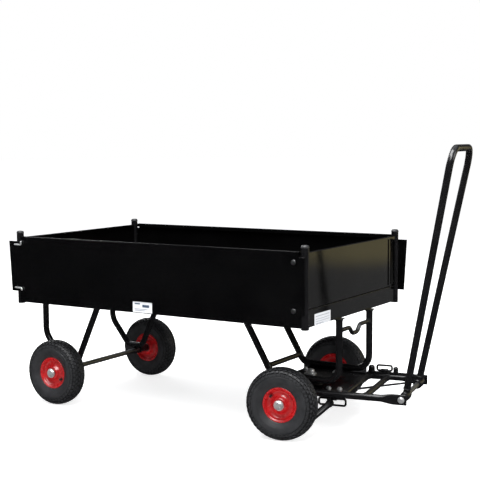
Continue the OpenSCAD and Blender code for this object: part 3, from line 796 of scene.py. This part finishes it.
def drawbar_fittings():
    """Cross tubes, bolts, the handle's pivot shaft with its collars, and the welds."""
    reach = RAIL_Y - TUBE_R + 1.5
    bm = bmesh.new()
    for x in CROSS_X:
        lathe(bm, rod_profile(CROSS_R, -reach, reach), move(x, 0, PIVOT_Z) @ ALONG_Y, 40)
    formed("drawbar_cross_tubes", bm, STEER)

    bm = bmesh.new()
    for x in DRAWBAR_BOLTS_X:
        bolt_head(bm, move(x, DRAWBAR_BOLTS_Y, DRAWBAR_PLATE_TOP), 10.4, 1.4, 7.8, 5.4)
    acorn = [(0, 0), (12, 0), (12, 1.3), (9.6, 1.4), (9.8, 3), (9.2, 4.6), (7.6, 6), (5, 6.8), (2, 7),
             (0, 7)]
    reach = RAIL_Y + FLAT_HALF_THICK
    for side in (-1, 1):
        lathe(bm, acorn, move(PIVOT_X, side * reach, PIVOT_Z) @ pointing_out(side), 40)
    formed("drawbar_bolts", bm, STEER, 28)

    bm = bmesh.new()
    lathe(bm, rod_profile(SHAFT_R, -reach, reach), move(PIVOT_X, 0, PIVOT_Z) @ ALONG_Y, 40)
    formed("handle_pivot_shaft", bm, STEER)

    bm = bmesh.new()
    near = HANDLE_FOOT_Y - BUSH_HALF - GAP
    far = HANDLE_FOOT_Y + BUSH_HALF + GAP
    for side in (-1, 1):
        at = move(PIVOT_X, 0, PIVOT_Z) @ pointing_out(side)
        for start in (near - COLLAR_LEN, far):
            lathe(bm, tube_profile(COLLAR_R, SHAFT_R, start, start + COLLAR_LEN, 1.2), at, 48, True)
    formed("pivot_collars", bm, STEER)

    for node, bevel in (("drawbar_tie_rod", 0.5), ("lower_pin_bar", 0.9), ("upper_pin_boss", 0.9),
                        ("drawbar_plate", 0.6)):
        refined(node, bevel)

    bm = bmesh.new()
    for side in (-1, 1):
        for k, x in enumerate(CROSS_X):
            at = move(x, side * (RAIL_Y - TUBE_R - 0.3), PIVOT_Z) @ ALONG_Y
            weld_bead(bm, at, CROSS_R + 0.4, 2.2, 22, 20 + k + side)
        at = move(RAIL_START + 0.5, side * RAIL_Y, PIVOT_Z) @ ALONG_X
        weld_bead(bm, at, TUBE_R + 0.2, 2.4, 24, 30 + side)
    piece("weld_beads_drawbar", bm, "steering", "black_tube_paint", place=STEER, crease=80)


def bails():
    """Two wire loops that swing in their sleeves: one hangs at the right rail, one stands on the left."""
    wire, bend = 4, 7
    for node, x0, x1, y, z, deep in (
        ("lower_bail", 84, 184, -RAIL_Y + 17.4, PIVOT_Z - 20, -24),
        ("upper_bail", 214, 272, RAIL_Y, PIVOT_Z + TUBE_R + 11, 20),
    ):
        middle = (x0 + x1) / 2
        corners = [(middle + 0.5, y, z), (x1, y, z), (x1, y, z + deep), (x0, y, z + deep), (x0, y, z),
                   (middle - 0.5, y, z)]
        bm = bmesh.new()
        sweep(bm, bent_path(corners, (bend,) * 4, 9), wire, sides=20, edge=0.3)
        formed(node, bm, STEER)


# ---- Handle ----

HANDLE_LEN = 895
HANDLE_TOP_Y = 180
HANDLE_BEND = 60
STUB_LEN = 26


def handle():
    """One tube bent into a tall loop, welded at its two feet to bushes on the pivot shaft."""
    rise = Vector((HANDLE_LEN, HANDLE_TOP_Y - HANDLE_FOOT_Y, 0)).normalized()
    foot = Vector((0, HANDLE_FOOT_Y, 0)) + rise * STUB_LEN
    other_foot = Vector((foot.x, -foot.y, 0))
    corners = [other_foot, (HANDLE_LEN, -HANDLE_TOP_Y, 0), (HANDLE_LEN, HANDLE_TOP_Y, 0), foot]
    bm = bmesh.new()
    sweep(bm, bent_path(corners, (HANDLE_BEND, HANDLE_BEND), 3), TUBE_R, sides=40)
    formed("handle_tube", bm, HANDLE)
    refined("handle_bushes", 1.0)

    bm = bmesh.new()
    for k, (point, side) in enumerate(((foot, 1), (other_foot, -1))):
        along = Vector((rise.x, rise.y * side, 0))
        upright = along.to_track_quat("Z", "Y").to_matrix().to_4x4()
        weld_bead(bm, move(*point) @ upright, TUBE_R + 0.2, 2.0, 24, 40 + k)
    piece("weld_beads_handle", bm, "handle", "black_tube_paint", place=HANDLE, crease=80)


# ---- Deck and panels ----


def deck():
    refined("deck_sheet", 0.7, BED)
    refined("deck_edge_rails", 0.8)
    refined("deck_cross_members", 0.8)


def panels():
    for node in ("side_panel_right", "side_panel_left", "rear_gate", "front_gate"):
        refined(node, 0.7)


SIDE_OUT = 391
HALF_LEN = 648
HOOK_R = 3
HOOK_HIGH, HOOK_LOW = 645, 473
HOOK_PAST_END, HOOK_REACH = 8, 28
BOLT_INSET = 40


def panel_fittings():
    """Wire hooks across the ear and washered bolts at the other end; the left side's are turned round."""
    half_turn = Matrix.Rotation(math.pi, 4, "Z")
    for word, turn in (("right", Matrix.Identity(4)), ("left", half_turn)):
        hooks, bolts = bmesh.new(), bmesh.new()
        y = -SIDE_OUT - HOOK_R - 3
        for z, tip in ((HOOK_HIGH, 14), (HOOK_LOW, -10)):
            root, end = -HALF_LEN - HOOK_PAST_END, -HALF_LEN + HOOK_REACH
            corners = [(root, -SIDE_OUT, z), (root, y, z), (end, y, z), (end, y, z + tip)]
            sweep(hooks, bent_path(corners, (5, 6), 9), HOOK_R, turn, 24, 0.9)
        for z in (HOOK_HIGH - 5, HOOK_LOW):
            at = turn @ move(HALF_LEN - BOLT_INSET, -SIDE_OUT, z) @ AGAINST_Y
            lathe(bolts, [(0, 0), (8.6, 0), (9, 0.4), (9, 1.2), (8.6, 1.5), (0, 1.5)], at, 40)
            hexagon_head(bolts, 7, 5, at @ move(0, 0, 1.5))
        formed("panel_hooks_" + word, hooks, DECK)
        formed("panel_bolts_" + word, bolts, DECK, 28, look=STEEL)


def labels():
    """Blank stickers with plain printed bars in place of any words."""
    thick, printed = 0.6, 0.15
    side_y, front_x = -388, HALF_LEN
    film = bmesh.new()
    block(film, (-75, side_y - thick, 418), (13, side_y, 459))
    block(film, (front_x, -315, 416), (front_x + thick, -195, 456))
    formed("blank_labels", film, DECK, bevel=0.25)
    bars = bmesh.new()
    for x0, x1, z0, z1 in ((-66, -42, 448, 453), (-31, 0, 438, 448), (-66, -8, 430, 431.6),
                           (-66, -20, 425, 426.6)):
        block(bars, (x0, side_y - thick - printed, z0), (x1, side_y - thick, z1))
    for y0, y1, z0, z1 in ((-306, -204, 446, 447.4), (-306, -204, 436, 437), (-306, -204, 428, 429),
                           (-306, -250, 420, 421.4)):
        block(bars, (front_x + thick, y0, z0), (front_x + thick + printed, y1, z1))
    piece("label_print", bars, "chassis", "white_label", place=DECK, look=INK)


# ---- Wheels ----

PITCHES = 44
GROOVE = 0.36
WALL = 0.05
AFTER_GROOVE = 0.38
TREAD_DEPTH = 3.6
EDGE_SHARE = 0.45
ROW_SLOPE = 0.9
SHOULDER = 2.6
SIDE_STEPS = 17
RIB_R, RIB_RISE, RIB_WIDTH = 82, 0.5, 1.3
# Half outline of the carcass: distance from the wheel's middle plane, and radius
CARCASS = [(0, 130), (12, 129.1), (22.6, 126), (30.4, 120.6), (35.8, 112.4), (38.5, 103), (38.9, 95),
           (37.2, 85), (33.4, 75.5), (30.2, 69.5), (28.9, 66.6), (27.6, 64.4), (25.4, 62.2), (23.5, 60)]
# Where rows of blocks begin and end, measured round the outline from the tread's middle
ROWS = [(0, 4.4), (8.8, 15.6), (20.0, 26.6), (31.0, 38.0), (42.2, 51.5)]


def spline_through(points, per_span=12):
    """A smooth line through points, sampled finely."""
    padded = [points[0], *points, points[-1]]
    line = []
    for i in range(1, len(padded) - 2):
        p0, p1, p2, p3 = (Vector(padded[k]) for k in (i - 1, i, i + 1, i + 2))
        for k in range(per_span):
            t = k / per_span
            line.append(0.5 * (2 * p1 + (p2 - p0) * t + (2 * p0 - 5 * p1 + 4 * p2 - p3) * t * t
                               + (3 * p1 - p0 - 3 * p2 + p3) * t ** 3))
    line.append(Vector(points[-1]))
    return line


def outline_sampler(points):
    """A function that gives the point and the normal at a distance along the outline, and its length."""
    line = spline_through(points)
    reach = [0.0]
    for a, b in zip(line, line[1:]):
        reach.append(reach[-1] + (b - a).length)

    def at(s):
        i = max(1, next((k for k, r in enumerate(reach) if r >= s), len(reach) - 1))
        share = (s - reach[i - 1]) / max(reach[i] - reach[i - 1], 1e-9)
        a, b = line[i - 1], line[i]
        along = (b - a).normalized()
        return a.lerp(b, share), Vector((-along.y, along.x))

    return at, reach[-1]


def tyre_mesh():
    """A ring of columns across the tread, with the grooves between its blocks cut in."""
    at, total = outline_sampler(CARCASS)
    stations = []
    for row, (start, end) in enumerate(ROWS):
        if start > 0:
            stations += [(start - ROW_SLOPE, None), (start, row)]
        else:
            stations.append((0, row))
        middle = (start + end) / 2
        stations += [(middle, row), (end, row), (end + ROW_SLOPE, None)]
    side_start = ROWS[-1][1] + SHOULDER
    stations += [(side_start + (total - side_start) * k / SIDE_STEPS, -1) for k in range(SIDE_STEPS + 1)]
    phases = [0, WALL, GROOVE - WALL, GROOVE, AFTER_GROOVE]
    phases += [0.5 + phase for phase in phases]

    def cut(row, phase):
        """1 where the tread is cut down: all along between rows, and in each row's own grooves."""
        if row is None:
            return 1
        if row < 0:
            return 0
        shifted = (phase + (0.5 if row % 2 else 0)) % 1
        return 1 if WALL - 1e-6 <= shifted <= GROOVE - WALL + 1e-6 else 0

    half = []
    for s, row in stations:
        point, _ = at(s)
        direction = at(s + 0.3)[1] if s < total - 0.4 else at(s)[1]
        outward = direction if direction.y * point.y + direction.x * point.x > 0 else -direction
        half.append((s, row, point, outward))
    bm = bmesh.new()
    columns = []
    for pitch in range(PITCHES):
        for phase in phases:
            angle = math.tau * (pitch + phase) / PITCHES
            ring = []
            for flip in (-1, 1):
                order = half[::-1] if flip < 0 else half[1:]
                for s, row, point, outward in order:
                    shift = phase if flip > 0 else (phase + 0.5) % 1
                    depth = TREAD_DEPTH * cut(row, shift if row else phase)
                    if row == -1:
                        depth = -RIB_RISE * math.exp(-((point.y - RIB_R) / RIB_WIDTH) ** 2)
                    fade = EDGE_SHARE if s > ROWS[-1][0] - 1 and row != -1 else 1
                    p = point - outward * depth * fade
                    ring.append(bm.verts.new((p.y * math.cos(angle), p.y * math.sin(angle), flip * p.x)))
            columns.append(ring)
    count = len(columns)
    for i in range(count):
        a, b = columns[i], columns[(i + 1) % count]
        for k in range(len(a) - 1):
            bm.faces.new((a[k], b[k], b[k + 1], a[k + 1]))
        bm.faces.new((a[-1], b[-1], b[0], a[0]))
    return bm


# Half outline of the pressed rim, from the hub out to the rolled lip and back under it
RIM_FACE = [(17, 27.4), (21.5, 27.2), (24, 25.6), (27, 21.4), (31, 16.6), (36, 13.2), (42, 11.8),
            (47, 12.4), (51, 15.2), (53.6, 19.4), (55.6, 22.6), (58, 24.6)]
LIP_R, LIP_AT = 2.5, (60.4, 25.0)
RIM_WELL = [(58.6, 22.4), (57, 17), (55.5, 13), (53, 10), (52, 0)]


def rim_mesh():
    """A dished disc with a rolled lip, the same on both faces."""
    face = [(p.x, p.y) for p in spline_through(RIM_FACE, 4)]
    lip = [(LIP_AT[0] + LIP_R * math.cos(a), LIP_AT[1] + LIP_R * math.sin(a))
           for a in (math.radians(d) for d in range(160, -100, -20))]
    half = face + lip + RIM_WELL
    bm = bmesh.new()
    lathe(bm, half + [(r, -z) for r, z in half[-2::-1]], segments=96, closed=True)
    return bm


VALVE_AT = 45


def valve_mesh():
    """A rubber valve stem with its cap, standing straight out of the dish."""
    bm = bmesh.new()
    stem = [(0, 4), (5.2, 4), (5.2, 10), (4.4, 12), (3.9, 13.4), (3.7, 20), (4.3, 20.4), (4.4, 26),
            (3.6, 27.4), (0, 27.6)]
    lathe(bm, stem, move(VALVE_AT, 0, 0), 28)
    return bm


def valve_seat_mesh():
    """The pressed eyelet that the valve comes through."""
    bm = bmesh.new()
    ring = [(5.4, 8), (8.6, 8), (8.6, 13.2), (7.8, 14.2), (6.4, 14.2), (5.4, 13)]
    lathe(bm, ring, move(VALVE_AT, 0, 0), 32, True)
    return bm


def wheels():
    """Four wheels that share their meshes; each has turned a different way, and its valve with it."""
    hub = bmesh.new()
    lathe(hub, tube_profile(17, AXLE_R + 0.05, -HALF_HUB, HALF_HUB, 0.8), segments=48, closed=True)
    parts = {
        "tyre": (tyre_mesh(), "tyre_rubber", 34),
        "rim": (rim_mesh(), "red_rim", 40),
        "hub": (hub, "bright_steel", 40),
        "valve": (valve_mesh(), "black_plastic", 40),
        "valve_seat": (valve_seat_mesh(), "red_rim", 40),
    }
    meshes = {}
    for part, (bm, slot, crease) in parts.items():
        mesh = smooth_mesh("wheel_" + part, bm, TO_METRES, FINISHES[slot], merge=1e-4)
        mesh.set_sharp_from_angle(angle=math.radians(crease))
        meshes[part] = (mesh, slot)
    turns = {"rear_right": -32, "rear_left": 75, "front_right": 141, "front_left": 20}
    for wheel, turn in turns.items():
        low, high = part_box(wheel + "_hub")
        centre = (low + high) / 2
        angle = steer_angle if wheel.startswith("front") else 0
        flip = Matrix.Identity(4) if wheel.endswith("right") else Matrix.Rotation(math.pi, 4, "Z")
        at = (
            Matrix.Translation(centre)
            @ Matrix.Rotation(angle, 4, "Z")
            @ flip
            @ AGAINST_Y
            @ Matrix.Rotation(math.radians(turn), 4, "Z")
        )
        for part, (mesh, slot) in meshes.items():
            obj = show(f"{wheel}_{part}_formed", mesh)
            obj.matrix_world = at
            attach(obj, wheel + "_wheel")
            if f"{wheel}_{part}" in nodes:
                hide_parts(f"{wheel}_{part}")


# ---- Stage and light ----


def card(name, centre, facing, width, height, stripes):
    """An upright card that shows only in reflections. Stripes are (share of the width, colour)."""
    facing = Vector((facing[0], facing[1], 0)).normalized()
    along = Vector((0, 0, 1)).cross(facing)
    total = sum(share for share, _ in stripes)
    start = -width / 2
    for k, (share, colour) in enumerate(stripes):
        end = start + width * share / total
        bm = bmesh.new()
        corners = [(start, 0), (end, 0), (end, height), (start, height)]
        bm.faces.new([bm.verts.new(Vector(centre) + along * x + Vector((0, 0, z))) for x, z in corners])
        look = Look(f"{name}_{k}", Specular_IOR_Level=0.0, Emission_Strength=1)
        parts = look.node("ShaderNodeSeparateXYZ")
        look.feed(look.coords, parts.inputs[0])
        uneven = look.mix(look.span(look.noise(1.6, 3), 0.3, 0.7), [c * 0.8 for c in colour], colour)
        ground = (colour[2] * 0.62,) * 3
        uneven = look.mix(look.span(parts.outputs["Z"], 0.1, 0.2), ground, uneven)
        look.feed(uneven, look.shader.inputs["Emission Color"])
        obj = show(f"{name}_{k}", as_mesh(f"{name}_{k}", bm, look.finish((0, 0, 0, 1), 1.0)))
        obj.visible_camera = False
        obj.visible_diffuse = False
        obj.visible_shadow = False
        start = end


def stage():
    """A white floor, and the card that the front gate mirrors."""
    bm = bmesh.new()
    bmesh.ops.create_circle(bm, cap_ends=True, segments=96, radius=60)
    look = Look("pale_floor", Specular_IOR_Level=0.0, Emission_Color=(1, 1, 1, 1), Emission_Strength=0.75)
    shade = look.mix(look.span(look.noise(0.8, 3), 0.3, 0.7), (0.80, 0.80, 0.80), (0.82, 0.82, 0.82))
    floor = show("floor", as_mesh("floor", bm, look.finish(shade, 0.85)))
    floor.visible_glossy = False
    tan, brown, dark = (0.62, 0.54, 0.30), (0.24, 0.22, 0.17), (0.02, 0.02, 0.02)
    card("tan_flat", (2.7, 3.4, -0.4), (-0.53, -0.85), 4.2, 2.2,
         [(2.222, tan), (0.086, dark), (0.406, tan), (0.036, dark), (0.253, brown), (0.064, dark),
          (1.133, brown)])


def soft_light(name, at, look_at, size, watts):
    data = bpy.data.lights.new(name, "AREA")
    data.shape = "RECTANGLE"
    data.size, data.size_y = size
    data.energy = watts
    light = show(name, data)
    light.location = at
    light.rotation_mode = "QUATERNION"
    light.rotation_quaternion = (Vector(look_at) - Vector(at)).to_track_quat("-Z", "Y")
    light.visible_camera = False


def background(tree, colour, strength=1.0):
    made = tree.nodes.new("ShaderNodeBackground")
    made.inputs["Color"].default_value = (*colour, 1)
    made.inputs["Strength"].default_value = strength
    return made


def surroundings():
    """White to the camera, a soft grey light on the object, and dark low down in its reflections."""
    world = bpy.data.worlds.new("studio")
    bpy.context.scene.world = world
    world.use_nodes = True
    tree = world.node_tree
    tree.nodes.clear()
    seen = background(tree, (1, 1, 1))
    lit = background(tree, (0.95, 0.97, 1.0), 0.34)
    mirrored = background(tree, (0, 0, 0))
    where = tree.nodes.new("ShaderNodeTexCoord")
    parts = tree.nodes.new("ShaderNodeSeparateXYZ")
    ramp = tree.nodes.new("ShaderNodeValToRGB")
    ramp.color_ramp.elements[0].position = 0.1
    ramp.color_ramp.elements[0].color = (0.02, 0.02, 0.022, 1)
    ramp.color_ramp.elements[1].position = 0.85
    ramp.color_ramp.elements[1].color = (0.8, 0.84, 0.9, 1)
    ramp.color_ramp.elements.new(0.45).color = (0.10, 0.095, 0.09, 1)
    path = tree.nodes.new("ShaderNodeLightPath")
    unseen = tree.nodes.new("ShaderNodeMixShader")
    both = tree.nodes.new("ShaderNodeMixShader")
    out = tree.nodes.new("ShaderNodeOutputWorld")
    for source, target in (
        (where.outputs["Generated"], parts.inputs[0]),
        (parts.outputs["Z"], ramp.inputs[0]),
        (ramp.outputs["Color"], mirrored.inputs["Color"]),
        (path.outputs["Is Glossy Ray"], unseen.inputs[0]),
        (lit.outputs[0], unseen.inputs[1]),
        (mirrored.outputs[0], unseen.inputs[2]),
        (path.outputs["Is Camera Ray"], both.inputs[0]),
        (unseen.outputs[0], both.inputs[1]),
        (seen.outputs[0], both.inputs[2]),
        (both.outputs[0], out.inputs["Surface"]),
    ):
        tree.links.new(source, target)


def lamps():
    middle = (0.1, 0, 0.4)
    soft_light("key", (1.6, -3.2, 4.2), middle, (3.0, 2.0), 150)
    soft_light("top", (-0.2, -0.9, 4.4), middle, (4.0, 2.6), 330)
    soft_light("rear_fill", (-4.5, 3.0, 2.6), middle, (2.6, 2.0), 70)
    soft_light("front_fill", (5.0, 1.2, 2.4), middle, (2.2, 2.0), 60)


def build():
    leg_loops()
    chassis_bars()
    corner_posts()
    chassis_welds()
    axle_caps()
    axle_rods()
    turntable()
    drawbar_rails()
    drawbar_fittings()
    bails()
    handle()
    deck()
    panels()
    panel_fittings()
    labels()
    wheels()
    stage()
    surroundings()
    lamps()


build()
bpy.context.scene.view_settings.view_transform = "Standard"
